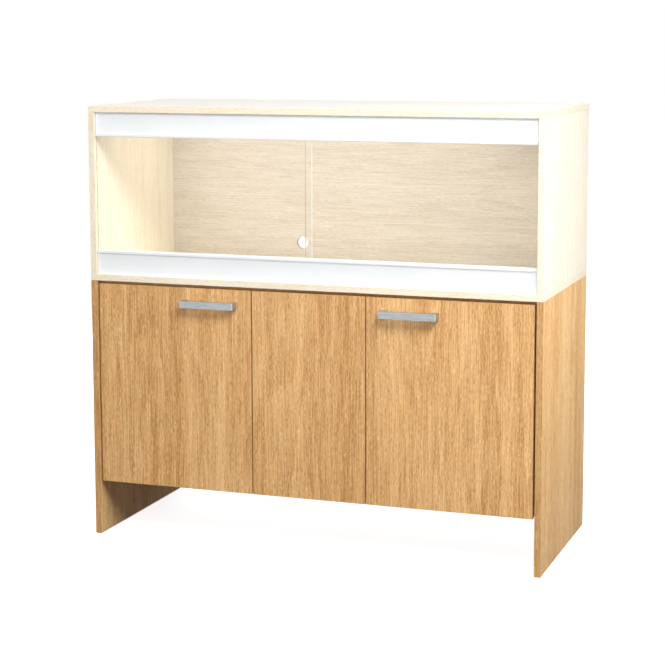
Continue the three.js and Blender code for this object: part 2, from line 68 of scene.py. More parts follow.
# Runners, by depth behind the boards' front edges and by rise from their own board
RUNNER_END_GAP = 0.0012
RUNNER_HEIGHT = 0.060
RUNNER_BACK = 0.025
WEB = 0.002
FASCIA_FRONT = 0.0055
FASCIA_DIP = 0.0018  # how far its face is hollowed at mid-height
FASCIA_STEPS = 12
LIP_FRONT = 0.0035
LIP_HEIGHT = 0.0070
LIP_NOSE = 0.0015
TRACK_WALL = 0.004
TRACK_WIDTH = 0.0055
TRACK_DIVIDER = 0.0025
TRACK_FLOOR = 0.005
TOP_TRACK_DEPTH = 0.014
BOTTOM_TRACK_DEPTH = 0.006
ARRIS = 0.0003  # the least round on a runner's corners

# Glass
GLASS_ARRIS = 0.0006
GROUND_FACING = 0.1  # faces whose normals point further right than this are ground

# Handles
HANDLE_LEG = 0.014
HANDLE_BAR = 0.008
HANDLE_ROUND = 0.003
HANDLE_ARRIS = 0.0018
HANDLE_SCREW_BORE = 0.0023  # radius
HANDLE_SCREW_SHANK = 0.002  # radius

# Concealed hinges
CUP_RADIUS = 0.0174
CUP_WALL = 0.0014
CUP_DEPTH = 0.0113
CUP_FLOOR = 0.001
CUP_FLANGE = 0.0014
CUP_FLANGE_WIDTH = 0.016
CUP_FLANGE_LENGTH = 0.062
CUP_FLANGE_CORNER = 0.98  # its radius as a share of half the width
CUP_SCREW_SPACING = 0.048
PRESSED_ROUND = 0.0004  # on the rims of cups and plates
PLATE = 0.003
PLATE_WIDTH = 0.018
PLATE_WING = 0.014
PLATE_SCREW_LINE = 0.013  # from the plate's front end
PLATE_SCREW_SPACING = 0.032
PLATE_ROUND = 0.003
ARM_FACE = 0.014  # from the side board to the face that holds the arm's screws
ARM_ARRIS = 0.0006
ARM_SCREWS = (0.0115, 0.0295)  # from the arm's back end
ARM_SCREW_RADIUS = 0.003
ARM_SCREW_HEAD = 0.001
LINK_ARRIS = 0.0003

# Cross screws
HINGE_SCREW_RADIUS = 0.0035
HINGE_SCREW_HEAD = 0.0012
HINGE_SCREW_SHANK_RADIUS = 0.0015
HINGE_SCREW_SHANK_LENGTH = 0.001
HEAD_TAPER = 0.82  # the top of a head, as a share of its base
CROSS_LENGTH = 1.15  # as a share of the head's radius
CROSS_WIDTH = 0.24
CROSS_RISE = 0.9  # the middle of the tool that cuts it, in heights of the head
HEAD_SIDES = 32
SHANK_SIDES = 16

# Hardwood dowels
DOWEL_RADIUS = 0.004
DOWEL_LENGTH = 0.030
DOWEL_CHAMFER = 0.0012
DOWEL_TIP = 0.78  # the width of an end, as a share of the dowel's
DOWEL_RINGS = 26
FLUTES = 12
FLUTE_DEPTH = 0.0004
FLUTE_POINTS = 6

# Round work
BORE_SIDES = 48
HOLE_SIDES = 96
CORNER_STEPS = 6
HANDLE_STEPS = 8
FLANGE_STEPS = 10
ROUND_ANGLE = 35  # degrees: a blunter edge is shaded round
EASED_ANGLE = 40  # degrees: a sharper edge is eased
FLAT_ANGLE = 1  # degrees: faces that lie closer to flat become one
MERGED = 0.00001  # points that lie closer become one

# The camera, solved from the corners of the object in the photograph
CAMERA_PLACE = (1.4735, -4.1727, 1.2658)
CAMERA_YAW = 19.655  # degrees to the left of straight ahead
CAMERA_PITCH = 7.125  # degrees below level
CAMERA_ROLL = -0.151
PHOTO_WIDTH = 665
FOCAL_PIXELS = 1783.1
SENSOR = 36.0
CENTRE_ROW = 252.7  # the row of the photograph that the lens looks at squarely


# ------------------------ node trees


def add(tree, kind, inputs=None, **settings):
    """Adds a node. An input's value is a number, a tuple or another node's output."""
    node = tree.nodes.new(kind)
    for name, value in settings.items():
        setattr(node, name, value)
    for name, value in (inputs or {}).items():
        if isinstance(value, bpy.types.NodeSocket):
            tree.links.new(value, node.inputs[name])
        else:
            node.inputs[name].default_value = value
    return node


def maths(tree, operation, first, second=0.0, clamp=False):
    inputs = {0: first, 1: second}
    node = add(tree, "ShaderNodeMath", inputs, operation=operation, use_clamp=clamp)
    return node.outputs[0]


def fused(tree, first, factor, second):
    """first * factor + second."""
    inputs = {0: first, 1: factor, 2: second}
    return add(tree, "ShaderNodeMath", inputs, operation="MULTIPLY_ADD").outputs[0]


def spread(tree, value, low, high, to_low=0.0, to_high=1.0):
    """Takes low..high to to_low..to_high, held at the ends."""
    inputs = {
        "Value": value, "From Min": low, "From Max": high, "To Min": to_low, "To Max": to_high,
    }
    return add(tree, "ShaderNodeMapRange", inputs).outputs["Result"]


NOISE_LOW, NOISE_HIGH = 0.3, 0.7  # nearly all of a noise lies between them


def evened(tree, value, to_low=0.0, to_high=1.0):
    """Takes the range of a noise to to_low..to_high."""
    return spread(tree, value, NOISE_LOW, NOISE_HIGH, to_low, to_high)


def blended(tree, factor, first, second):
    inputs = {0: factor, 6: first, 7: second}
    return add(tree, "ShaderNodeMix", inputs, data_type="RGBA").outputs[2]


def srgb(red, green, blue):
    """A colour given as it looks, 0 to 255, in the shader's linear values."""
    def linear(value):
        share = value / 255
        return share / 12.92 if share <= 0.04045 else ((share + 0.055) / 1.055) ** 2.4
    return (linear(red), linear(green), linear(blue), 1.0)


def on_object(tree):
    return add(tree, "ShaderNodeTexCoord").outputs["Object"]


def with_grain(tree, spot, along, shift=(0, 0, 0)):
    """The place of a spot in a pattern that is moved, and whose Z runs along one axis."""
    turns = {X: (0, math.pi / 2, 0), Y: (math.pi / 2, 0, 0), Z: (0, 0, 0)}
    inputs = {"Vector": spot, "Rotation": turns[along], "Location": shift}
    return add(tree, "ShaderNodeMapping", inputs).outputs[0]


def noise(tree, place, across, along, detail, roughness=0.55):
    """Noise in a place whose Z runs along the grain, with so many patches to the metre."""
    scale = (across, across, along)
    scaled = add(tree, "ShaderNodeVectorMath", {0: place, 1: scale}, operation="MULTIPLY")
    inputs = {
        "Vector": scaled.outputs[0], "Scale": 1.0, "Detail": detail, "Roughness": roughness,
    }
    return add(tree, "ShaderNodeTexNoise", inputs).outputs[0]


def bumped(tree, height, depth, strength):
    inputs = {"Height": height, "Distance": depth, "Strength": strength}
    return add(tree, "ShaderNodeBump", inputs).outputs[0]


def new_finish(name):
    finish = bpy.data.materials.new(name)
    finish.use_nodes = True
    finish.node_tree.nodes.clear()
    return finish, finish.node_tree


def ending(tree, shader):
    add(tree, "ShaderNodeOutputMaterial", {"Surface": shader})


# ------------------------ finishes

# Patches of a foil's print to the metre, across its grain and along it
PRINT = {
    "Drift": (9, 0.5),
    "Band": (42, 0.9),
    "Streak": (760, 13),
    "Dash": (1100, 85),
    "Fibre": (2600, 60),
}
HILLS = (6.5, 0.6)
RINGS = 14.0  # from the lowest of the hills to the highest
RAGGED = (150, 12)
RAGGED_SHARE = 0.7  # how far the rings stray, in rings
RING_SHARPNESS = 1.8
PORES = (1100, 90)

FOIL_SHINE = 0.14
TOP_SHINE = 0.5  # the top is wiped and polished most


def foil_grain():
    """Measures of a printed wood foil, each from 0 to 1, on a place whose Z runs with the grain."""
    group = bpy.data.node_groups.new("foil_grain", "ShaderNodeTree")
    group.interface.new_socket("Place", in_out="INPUT", socket_type="NodeSocketVector")
    place = add(group, "NodeGroupInput").outputs["Place"]
    measures = {}
    for name, (across, along) in PRINT.items():
        patches = noise(group, place, across, along, detail=1.0, roughness=0.5)
        measures[name] = evened(group, patches)

    ragged = maths(group, "MULTIPLY", noise(group, place, *RAGGED, detail=3.0), RAGGED_SHARE)
    hills = noise(group, place, *HILLS, detail=1.5)
    ring = maths(group, "FRACT", fused(group, hills, RINGS, ragged))
    pore = spread(group, noise(group, place, *PORES, detail=1.0), 0.56, 0.70)
    late_in_ring = spread(group, ring, 0.1, 0.9, 0.4, 1.0)
    measures["Figure"] = maths(group, "POWER", ring, RING_SHARPNESS)
    measures["Pore"] = maths(group, "MULTIPLY", pore, late_in_ring)

    for name in measures:
        group.interface.new_socket(name, in_out="OUTPUT", socket_type="NodeSocketFloat")
    add(group, "NodeGroupOutput", measures)
    return group


GRAIN = foil_grain()


def foil(name, along, shift, colours, weights, pore_colour, pore_share, roughness, shine):
    """A satin foil on board. `along` is the axis of its grain, and `shift` moves its print."""
    finish, tree = new_finish(name)
    spot = on_object(tree)
    place = with_grain(tree, spot, along, shift)
    grain = add(tree, "ShaderNodeGroup", {"Place": place}, node_tree=GRAIN).outputs

    tone = 0.5 - sum(weights.values()) / 2
    for measure, weight in weights.items():
        tone = fused(tree, grain[measure], weight, tone)
    ramp = add(tree, "ShaderNodeValToRGB", {"Fac": tone})
    light, middle_tone, dark = colours
    ramp.color_ramp.elements[0].color = light
    ramp.color_ramp.elements[1].color = dark
    ramp.color_ramp.elements.new(0.5).color = middle_tone
    pores = maths(tree, "MULTIPLY", grain["Pore"], pore_share)
    colour = blended(tree, pores, ramp.outputs["Color"], pore_colour)

    relief = maths(tree, "SUBTRACT", grain["Fibre"], grain["Pore"])
    sheen_spots = noise(tree, spot, across=7, along=7, detail=2.0)
    shader = add(tree, "ShaderNodeBsdfPrincipled", {
        "Base Color": colour,
        "Roughness": evened(tree, sheen_spots, roughness - 0.05, roughness + 0.07),
        "Specular IOR Level": shine,
        "Normal": bumped(tree, relief, depth=0.00004, strength=0.5),
    })
    ending(tree, shader.outputs[0])
    return finish


# Each foil's light, middle and dark tones
OAK = (srgb(248, 204, 147), srgb(218, 169, 112), srgb(176, 124, 71))
# Painted light: the sides' oak is a paler copy of the front's, standing in for the stronger light
# on the right side
OAK_LIT_SIDE = (srgb(252, 217, 160), srgb(236, 187, 126), srgb(198, 145, 86))
OAK_BAND = (srgb(226, 181, 125), srgb(203, 158, 104), srgb(170, 122, 73))
OAK_PORE = srgb(150, 100, 54)
MAPLE = (srgb(252, 244, 226), srgb(246, 233, 208), srgb(230, 208, 174))
MAPLE_BAND = (srgb(251, 242, 224), srgb(247, 234, 210), srgb(234, 214, 182))
# Painted light: a paler copy of the maple for the vivarium's side walls
MAPLE_LIT_WALL = (srgb(253, 248, 234), srgb(249, 240, 221), srgb(235, 217, 188))
# Painted shade: a darker, greyer copy of the maple for the back panel, standing in for the shade
# deep in the chamber behind the glass
MAPLE_SHADED_BACK = (srgb(238, 230, 219), srgb(224, 214, 201), srgb(204, 191, 174))
# Painted light: a whiter copy of the maple for the top, standing in for the light and sheen from
# above
MAPLE_LIT_TOP = (srgb(254, 251, 246), srgb(251, 247, 240), srgb(240, 232, 220))
MAPLE_PORE = srgb(216, 190, 154)


def oak_foil(name, along, shift, colours=OAK):
    weights = {
        "Drift": 0.24, "Band": 0.26, "Figure": 0.18, "Streak": 0.62, "Dash": 0.62, "Fibre": 0.44,
    }
    return foil(
        name, along, shift, colours, weights, OAK_PORE, pore_share=0.45, roughness=0.55,
        shine=FOIL_SHINE,
    )


def maple_foil(name, along, shift, colours=MAPLE, shine=FOIL_SHINE):
    weights = {
        "Drift": 0.18, "Band": 0.16, "Figure": 0.14, "Streak": 0.60, "Dash": 0.70, "Fibre": 0.20,
    }
    return foil(
        name, along, shift, colours, weights, MAPLE_PORE, pore_share=0.30, roughness=0.50,
        shine=shine,
    )


def raw_chipboard():
    """The bare core of a board: pressed flakes with dark dust between them."""
    pale_flake = srgb(206, 172, 124)
    brown_flake = srgb(168, 128, 84)
    dark_dust = srgb(122, 88, 56)
    finish, tree = new_finish("raw_chipboard")
    spot = on_object(tree)
    flakes = add(tree, "ShaderNodeTexVoronoi", {"Vector": spot, "Scale": 420.0, "Randomness": 1.0})
    split = add(tree, "ShaderNodeSeparateColor", {0: flakes.outputs["Color"]})
    dust = noise(tree, spot, across=1500, along=1500, detail=3.0)
    flake = blended(tree, split.outputs[0], pale_flake, brown_flake)
    gaps = spread(tree, flakes.outputs["Distance"], 0.2, 0.8)
    shader = add(tree, "ShaderNodeBsdfPrincipled", {
        "Base Color": blended(tree, spread(tree, dust, 0.55, 0.7), flake, dark_dust),
        "Roughness": 0.9,
        "Normal": bumped(tree, gaps, depth=0.0003, strength=0.7),
    })
    ending(tree, shader.outputs[0])
    return finish


def raw_hardboard():
    """The rough brown side of a pressed panel, with the mesh print of its press."""
    pale_wool = srgb(172, 130, 88)
    dark_wool = srgb(142, 102, 65)
    finish, tree = new_finish("raw_hardboard")
    spot = on_object(tree)
    wool = noise(tree, spot, across=260, along=260, detail=5.0, roughness=0.7)
    cloud = noise(tree, spot, across=9, along=9, detail=2.0)
    mixed = fused(tree, cloud, 0.2, maths(tree, "MULTIPLY", wool, 0.8))
    threads = []
    for axis in ("X", "Z"):
        wave = {"Vector": spot, "Scale": 120.0, "Distortion": 0.6, "Detail": 1.0}
        made = add(tree, "ShaderNodeTexWave", wave, wave_type="BANDS", bands_direction=axis)
        threads.append(made.outputs["Fac"])
    relief = maths(tree, "ADD", maths(tree, "MULTIPLY", *threads), wool)
    shader = add(tree, "ShaderNodeBsdfPrincipled", {
        "Base Color": blended(tree, spread(tree, mixed, 0.34, 0.66), pale_wool, dark_wool),
        "Roughness": 0.85,
        "Normal": bumped(tree, relief, depth=0.0003, strength=0.6),
    })
    ending(tree, shader.outputs[0])
    return finish


def raw_beech():
    pale_wood = srgb(222, 192, 148)
    dark_ray = srgb(192, 154, 108)
    finish, tree = new_finish("raw_beech")
    rays = noise(tree, on_object(tree), across=900, along=120, detail=3.0)
    shader = add(tree, "ShaderNodeBsdfPrincipled", {
        "Base Color": blended(tree, spread(tree, rays, 0.35, 0.65), pale_wood, dark_ray),
        "Roughness": 0.75,
    })
    ending(tree, shader.outputs[0])
    return finish


def runner_plastic():
    """White extruded plastic with faint draw lines along it."""
    white = srgb(241, 243, 244)
    shaded_white = srgb(237, 240, 241)
    finish, tree = new_finish("white_extrusion")
    spot = on_object(tree)
    draw_lines = noise(tree, with_grain(tree, spot, X), across=1400, along=1.5, detail=2.0)
    haze = noise(tree, spot, across=12, along=12, detail=2.0)
    shader = add(tree, "ShaderNodeBsdfPrincipled", {
        "Base Color": blended(tree, evened(tree, haze), white, shaded_white),
        "Roughness": evened(tree, haze, 0.40, 0.44),
        "Specular IOR Level": 0.3,
        "Normal": bumped(tree, draw_lines, depth=0.00002, strength=0.35),
    })
    ending(tree, shader.outputs[0])
    return finish


def glass_shader(name, tint, roughness, clearness):
    """Glass that lets lamps, and light on its way back from what is behind it, straight through."""
    finish, tree = new_finish(name)
    glass = add(tree, "ShaderNodeBsdfPrincipled", {
        "Base Color": tint, "Roughness": roughness, "IOR": 1.5, "Transmission Weight": clearness,
    })
    clear = add(tree, "ShaderNodeBsdfTransparent", {"Color": tint})
    path = add(tree, "ShaderNodeLightPath")
    through = maths(tree, "MAXIMUM", path.outputs["Is Shadow Ray"], path.outputs["Is Diffuse Ray"])
    inputs = {0: through, 1: glass.outputs[0], 2: clear.outputs[0]}
    ending(tree, add(tree, "ShaderNodeMixShader", inputs).outputs[0])
    return finish


def brushed_metal(name, dark, light, along, roughness, lines_across, lines_along):
    """Metal brushed along one axis."""
    finish, tree = new_finish(name)
    place = with_grain(tree, on_object(tree), along)
    lines = noise(tree, place, lines_across, lines_along, detail=3.0, roughness=0.7)
    shader = add(tree, "ShaderNodeBsdfPrincipled", {
        "Base Color": blended(tree, evened(tree, lines), dark, light),
        "Roughness": evened(tree, lines, roughness - 0.06, roughness + 0.08),
        "Metallic": 1.0,
        "Normal": bumped(tree, lines, depth=0.00002, strength=0.5),
    })
    ending(tree, shader.outputs[0])
    return finish


CHIPBOARD = raw_chipboard()
HARDBOARD = raw_hardboard()
BEECH = raw_beech()
RUNNER_WHITE = runner_plastic()
CLEAR_GLASS = glass_shader(
    "clear_glass", (0.985, 0.995, 0.99, 1.0), roughness=0.0, clearness=1.0,
)
GROUND_EDGE = glass_shader(
    "ground_glass_edge", (0.95, 0.985, 0.97, 1.0), roughness=0.3, clearness=0.3,
)
ALUMINIUM = brushed_metal(
    "brushed_aluminium", srgb(158, 163, 165), srgb(200, 204, 205), X,
    roughness=0.48, lines_across=900, lines_along=45,
)
NICKEL = brushed_metal(
    "satin_nickel", srgb(186, 184, 178), srgb(208, 206, 200), Y,
    roughness=0.26, lines_across=700, lines_along=60,
)
MAPLE_EDGING = maple_foil("maple_edging", X, (0.2, 0.4, 0.1), MAPLE_BAND)
MAPLE_UPRIGHT_EDGING = maple_foil("maple_upright_edging", Z, (0.7, 0.1, 0.3), MAPLE_BAND)
OAK_EDGING = oak_foil("oak_edging", Z, (0.9, 0.3, 1.1), OAK_BAND)
OAK_LEVEL_EDGING = oak_foil("oak_level_edging", X, (0.5, 1.3, 2.1), OAK_BAND)
OAK_DOOR_EDGING = oak_foil("oak_door_edging", Z, (1.6, 0.7, 0.2), OAK_BAND)


# ------------------------ making pieces


def linked(name, shape, finishes):
    """Turns a bmesh into an object at the origin."""
    mesh = bpy.data.meshes.new(name)
    shape.to_mesh(mesh)
    shape.free()
    for finish in finishes:
        mesh.materials.append(finish)
    piece = bpy.data.objects.new(name, mesh)
    bpy.context.scene.collection.objects.link(piece)
    return piece


def settled(piece):
    """Makes a piece's modifiers part of its mesh."""
    graph = bpy.context.evaluated_depsgraph_get()
    mesh = bpy.data.meshes.new_from_object(piece.evaluated_get(graph))
    piece.modifiers.clear()
    piece.data = mesh
    return piece


SLOTS = {part["node"]: part["material_slot"] for part in frame["record"]["subparts"]}


def slot_of(node):
    return SLOTS[node]


def placed_on(piece, body, slot, *nodes):
    """Hangs a finished piece on its body in the place of the nodes that it stands for."""
    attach(piece, body)
    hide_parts(*nodes)


def smoothed(piece):
    """Round faces shaded round and flat faces flat."""
    piece.data.shade_smooth()
    piece.data.set_sharp_from_angle(angle=math.radians(ROUND_ANGLE))
    normals = piece.modifiers.new("normals", "WEIGHTED_NORMAL")
    normals.keep_sharp = True
    return settled(piece)


def middle(node):
    low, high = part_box(node)
    return (low + high) / 2


def long_axis(size):
    return max((X, Y, Z), key=lambda axis: size[axis])


def on_axis(axis, length):
    """A vector along one axis."""
    vector = Vector()
    vector[axis] = length
    return vector


def block(low, high, radius=0.0, segments=3):
    shape = bmesh.new()
    bmesh.ops.create_cube(shape, size=1)
    bmesh.ops.scale(shape, vec=Vector(high) - Vector(low), verts=shape.verts)
    bmesh.ops.translate(shape, vec=(Vector(high) + Vector(low)) / 2, verts=shape.verts)
    if radius:
        bmesh.ops.bevel(
            shape, geom=shape.edges[:], offset=radius, segments=segments, profile=0.5,
            affect="EDGES",
        )
    return shape


def rod(start, end, radius, sides=BORE_SIDES):
    """A round bar."""
    start = Vector(start)
    run = Vector(end) - start
    turn = run.to_track_quat("Z", "Y").to_matrix().to_4x4()
    place = Matrix.Translation(start + run / 2) @ turn
    shape = bmesh.new()
    bmesh.ops.create_cone(
        shape, cap_ends=True, segments=sides, radius1=radius, radius2=radius, depth=run.length,
        matrix=place,
    )
    return shape


def level_rod(centre, front, back, radius, sides=BORE_SIDES):
    """A round bar from front to back through the centre of something."""
    return rod((centre.x, front, centre.z), (centre.x, back, centre.z), radius, sides)


def rounded(corners, steps=CORNER_STEPS):
    """The outline through some corners, each (x, y, radius), turned on their radii."""
    outline = []
    for index, (x, y, radius) in enumerate(corners):
        corner = Vector((x, y))
        if not radius:
            outline.append(corner)
            continue
        before = (Vector(corners[index - 1][:2]) - corner).normalized()
        after = (Vector(corners[(index + 1) % len(corners)][:2]) - corner).normalized()
        half = before.angle(after) / 2
        centre = corner + (before + after).normalized() * (radius / math.sin(half))
        reach = radius / math.tan(half)
        first = corner + before * reach - centre
        last = corner + after * reach - centre
        start = math.atan2(first.y, first.x)
        sweep = math.atan2(last.y, last.x) - start
        sweep = (sweep + math.pi) % (2 * math.pi) - math.pi
        for step in range(steps + 1):
            angle = start + sweep * step / steps
            outline.append(centre + radius * Vector((math.cos(angle), math.sin(angle))))
    return outline


def prism(outline, low, high, place, arris=0.0):
    """An outline drawn out from low to high. `place` takes (x, y, run) to a point."""
    shape = bmesh.new()
    ends = []
    for run in (low, high):
        ends.append([shape.verts.new(place(point[0], point[1], run)) for point in outline])
    caps = [shape.faces.new(end) for end in ends]
    count = len(outline)
    for index in range(count):
        following = (index + 1) % count
        shape.faces.new((ends[0][index], ends[0][following], ends[1][following], ends[1][index]))
    bmesh.ops.recalc_face_normals(shape, faces=shape.faces)
    if arris:
        rims = {edge for cap in caps for edge in cap.edges}
        bmesh.ops.bevel(
            shape, geom=list(rims), offset=arris, segments=2, profile=0.5, affect="EDGES",
        )
    return shape


def joined(shapes):
    """One shape from several that don't touch."""
    whole = bmesh.new()
    for shape in shapes:
        mesh = bpy.data.meshes.new("part")
        shape.to_mesh(mesh)
        shape.free()
        whole.from_mesh(mesh)
        bpy.data.meshes.remove(mesh)
    return whole


def combined(piece, tool_shape, operation, tool_finish=0):
    """Cuts a shape out of a piece, or joins it on. The shape's faces take one of its finishes."""
    for face in tool_shape.faces:
        face.material_index = tool_finish
    tool = linked("tool", tool_shape, piece.data.materials)
    change = piece.modifiers.new("change", "BOOLEAN")
    change.operation = operation
    change.solver = "EXACT"
    change.object = tool
    settled(piece)
    bpy.data.objects.remove(tool)


# ------------------------ boards

FRONT = (Y, -1)
REAR = (Y, 1)
LEFT = (X, -1)
RIGHT = (X, 1)
UNDER = (Z, -1)
OVER = (Z, 1)

EDGE_FINISH, CORE_FINISH = 1, 2  # their places among a board's finishes


def dowel_bore(node):
    """The bore round a dowel."""
    low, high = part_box(node)
    size = high - low
    axis = long_axis(size)
    run = on_axis(axis, size[axis] / 2 + CLEARANCE)
    return rod(middle(node) - run, middle(node) + run, min(size) / 2 + CLEARANCE)


def dowels_in(*words):
    """The dowels whose names hold all the words."""
    return [node for node in frame["nodes"] if "dowel" in node and all(w in node for w in words)]


def panel_groove(node):
    """The groove round a back panel."""
    low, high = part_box(node)
    room = Vector((CLEARANCE, CLEARANCE, CLEARANCE))
    return block(low - room, high + room)


def board(
    name, finish, edging, banded, bare=(), cuts=(), radius=BOARD_ROUND, body="carcass",
    core=CHIPBOARD,
):
    """
    A faced board in place of the node of the same name. Each side in `banded` and `bare` is
    (axis, direction): the first have an edging strip and the second show the core.
    """
    low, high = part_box(name)
    shape = block(low, high, radius)
    seams = {}
    for axis, way in banded:
        seam = (high if way > 0 else low)[axis] - way * BAND
        seams[axis, way] = seam
        bmesh.ops.bisect_plane(
            shape, geom=[*shape.verts, *shape.edges, *shape.faces], plane_co=on_axis(axis, seam),
            plane_no=on_axis(axis, 1),
        )
    shape.normal_update()
    for face in shape.faces:
        centre = face.calc_center_median()
        if any((centre[axis] - seam) * way > 0 for (axis, way), seam in seams.items()):
            face.material_index = EDGE_FINISH
        if any(face.normal[axis] * way > SQUARE_ON for axis, way in bare):
            face.material_index = CORE_FINISH
    piece = linked(f"{name}_faced", shape, (finish, edging, core))
    if cuts:
        combined(piece, joined(cuts), "DIFFERENCE", CORE_FINISH)
    placed_on(piece, body, slot_of(name), name)


def vivarium_boards():
    # The axis of each board's grain, the shift of its print, and its tones; the top's and the
    # walls' are paler copies of the maple, painted light
    prints = {
        "vivarium_top_board": (X, (0.3, 1.1, 0.2), MAPLE_LIT_TOP),
        "vivarium_bottom_board": (X, (2.3, 0.4, 5.2), MAPLE),
        "vivarium_left_side": (Z, (0.4, 3.1, 1.7), MAPLE_LIT_WALL),
        "vivarium_right_side": (Z, (4.4, 1.3, 0.6), MAPLE_LIT_WALL),
    }
    for name, (along, shift, colours) in prints.items():
        place = name.split("_")[1]
        cuts = [panel_groove("vivarium_back_panel")]
        cuts += [dowel_bore(node) for node in dowels_in("vivarium", place)]
        banded = [FRONT, LEFT, RIGHT] if along == X else [FRONT]
        edging = MAPLE_EDGING if along == X else MAPLE_UPRIGHT_EDGING
        shine = TOP_SHINE if place == "top" else FOIL_SHINE
        finish = maple_foil(f"{name}_foil", along, shift, colours, shine)
        board(name, finish, edging, banded, [REAR], cuts)


def vivarium_back():
    # Darker tones on the back: painted shade
    finish = maple_foil("vivarium_back_foil", X, (1.4, 2.2, 0.9), MAPLE_SHADED_BACK)
    hole_box = next(
        opening["box_m"] for opening in frame["record"]["physics"]["openings"]
        if opening["name"] == "cable_hole"
    )
    low, high = (Vector(corner) for corner in hole_box)
    hole = level_rod((low + high) / 2, low.y, high.y, CABLE_HOLE_RADIUS, HOLE_SIDES)
    board(
        "vivarium_back_panel", finish, finish, (), [REAR], [hole], THIN_ROUND, core=HARDBOARD,
    )


def cabinet_sides():
    for side, shift in (("left", (0.0, 1.7, 0.4)), ("right", (3.2, 0.2, 2.5))):
        name = f"cabinet_{side}_side"
        cuts = [panel_groove("cabinet_back_panel")]
        cuts += [dowel_bore(node) for node in dowels_in("cabinet_dowel", side)]
        # Paler tones on the sides: painted light
        finish = oak_foil(f"{name}_foil", Z, shift, OAK_LIT_SIDE)
        board(name, finish, OAK_EDGING, [FRONT], [REAR, UNDER, OVER], cuts)


def cabinet_top_and_bottom():
    for level, shift in (("top", (0.4, 2.4, 0.1)), ("bottom", (1.9, 0.8, 3.3))):
        name = f"cabinet_{level}_board"
        cuts = [panel_groove("cabinet_back_panel")]
        cuts += [dowel_bore(node) for node in dowels_in("cabinet_dowel", f"_{level}")]
        cuts.append(dowel_bore(f"partition_dowel_{level}"))
        finish = oak_foil(f"{name}_foil", X, shift)
        board(name, finish, OAK_LEVEL_EDGING, [FRONT], [REAR, LEFT, RIGHT], cuts)


def cabinet_partition():
    cuts = [dowel_bore(node) for node in dowels_in("partition")]
    cuts += [dowel_bore(node) for node in dowels_in("centre_panel")]
    finish = oak_foil("partition_foil", Z, (2.2, 4.4, 0.3))
    board("cabinet_partition", finish, OAK_EDGING, [FRONT], [REAR, UNDER, OVER], cuts)


def cabinet_centre_panel():
    cuts = [dowel_bore(node) for node in dowels_in("centre_panel")]
    finish = oak_foil("centre_panel_foil", Z, (0.52, 0.9, 0.35))
    around = [LEFT, RIGHT, UNDER, OVER]
    board("cabinet_centre_panel", finish, OAK_EDGING, around, (), cuts)


def cabinet_back():
    finish = oak_foil("cabinet_back_foil", Z, (5.1, 0.6, 1.9))
    board("cabinet_back_panel", finish, finish, (), [REAR], (), THIN_ROUND, core=HARDBOARD)


def doors():
    for side, shift in (("left", (0.13, 0.4, 0.15)), ("right", (1.75, 0.5, 0.8))):
        name = f"{side}_door"
        low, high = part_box(name)
        before, behind = low.y - BORE_OVERRUN, high.y + BORE_OVERRUN
        cuts = []
        for level in ("lower", "upper"):
            centre = middle(f"{side}_{level}_hinge_cup")
            bottom = high.y - CUP_DEPTH - CLEARANCE
            cuts.append(level_rod(centre, bottom, behind, CUP_RADIUS + CLEARANCE, HOLE_SIDES))
        for end in ("inner", "outer"):
            centre = middle(f"{side}_handle_screw_{end}")
            cuts.append(level_rod(centre, before, behind, HANDLE_SCREW_BORE))
        finish = oak_foil(f"{name}_foil", Z, shift)
        around = [LEFT, RIGHT, UNDER, OVER]
        board(name, finish, OAK_DOOR_EDGING, around, (), cuts, body=f"{side}_leaf")


# ------------------------ runners and glass


def runner_outline(track_depth):
    """A runner's section: a foot on the board, a hollowed fascia, and a head with two tracks."""
    head = RUNNER_HEIGHT - track_depth - TRACK_FLOOR
    lip = RUNNER_HEIGHT - LIP_HEIGHT
    front_track = LIP_FRONT + TRACK_WALL
    rear_track = front_track + TRACK_WIDTH + TRACK_DIVIDER
    fascia_back = FASCIA_FRONT + FASCIA_DIP + WEB
    corners = [
        (RUNNER_BACK, 0, ARRIS),
        (RUNNER_BACK, WEB, ARRIS),
        (fascia_back, WEB, ARRIS),
        (fascia_back, head, ARRIS),
        (RUNNER_BACK, head, ARRIS),
        (RUNNER_BACK, RUNNER_HEIGHT, ARRIS),
    ]
    for track in (rear_track, front_track):
        for depth, rise in ((TRACK_WIDTH, 0), (TRACK_WIDTH, track_depth), (0, track_depth), (0, 0)):
            corners.append((track + depth, RUNNER_HEIGHT - rise, ARRIS))
    corners += [(LIP_FRONT, RUNNER_HEIGHT, LIP_NOSE), (LIP_FRONT, lip, ARRIS)]
    for step in range(FASCIA_STEPS + 1):
        down = step / FASCIA_STEPS
        corners.append((FASCIA_FRONT + 4 * FASCIA_DIP * down * (1 - down), lip * (1 - down), 0))
    return rounded(corners)


def runners():
    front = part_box("vivarium_top_board")[0].y
    for level, depth, up in (("bottom", BOTTOM_TRACK_DEPTH, 1), ("top", TOP_TRACK_DEPTH, -1)):
        name = f"vivarium_{level}_runner"
        low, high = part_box(name)
        start = low.z if up > 0 else high.z
        shape = prism(
            runner_outline(depth), low.x + RUNNER_END_GAP, high.x - RUNNER_END_GAP,
            lambda y, z, x: (x, front + y, start + up * z),
        )
        piece = smoothed(linked(f"{name}_extrusion", shape, (RUNNER_WHITE,)))
        placed_on(piece, "carcass", slot_of(name), name)


def panes():
    for side in ("left", "right"):
        name = f"{side}_glass"
        low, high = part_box(name)
        shape = block(low, high, GLASS_ARRIS, 2)
        for face in shape.faces:
            face.material_index = 1 if face.normal.x > GROUND_FACING else 0
        piece = linked(f"{side}_pane", shape, (CLEAR_GLASS, GROUND_EDGE))
        placed_on(piece, f"{side}_pane", slot_of(name), name)


# ------------------------ handles and hinges


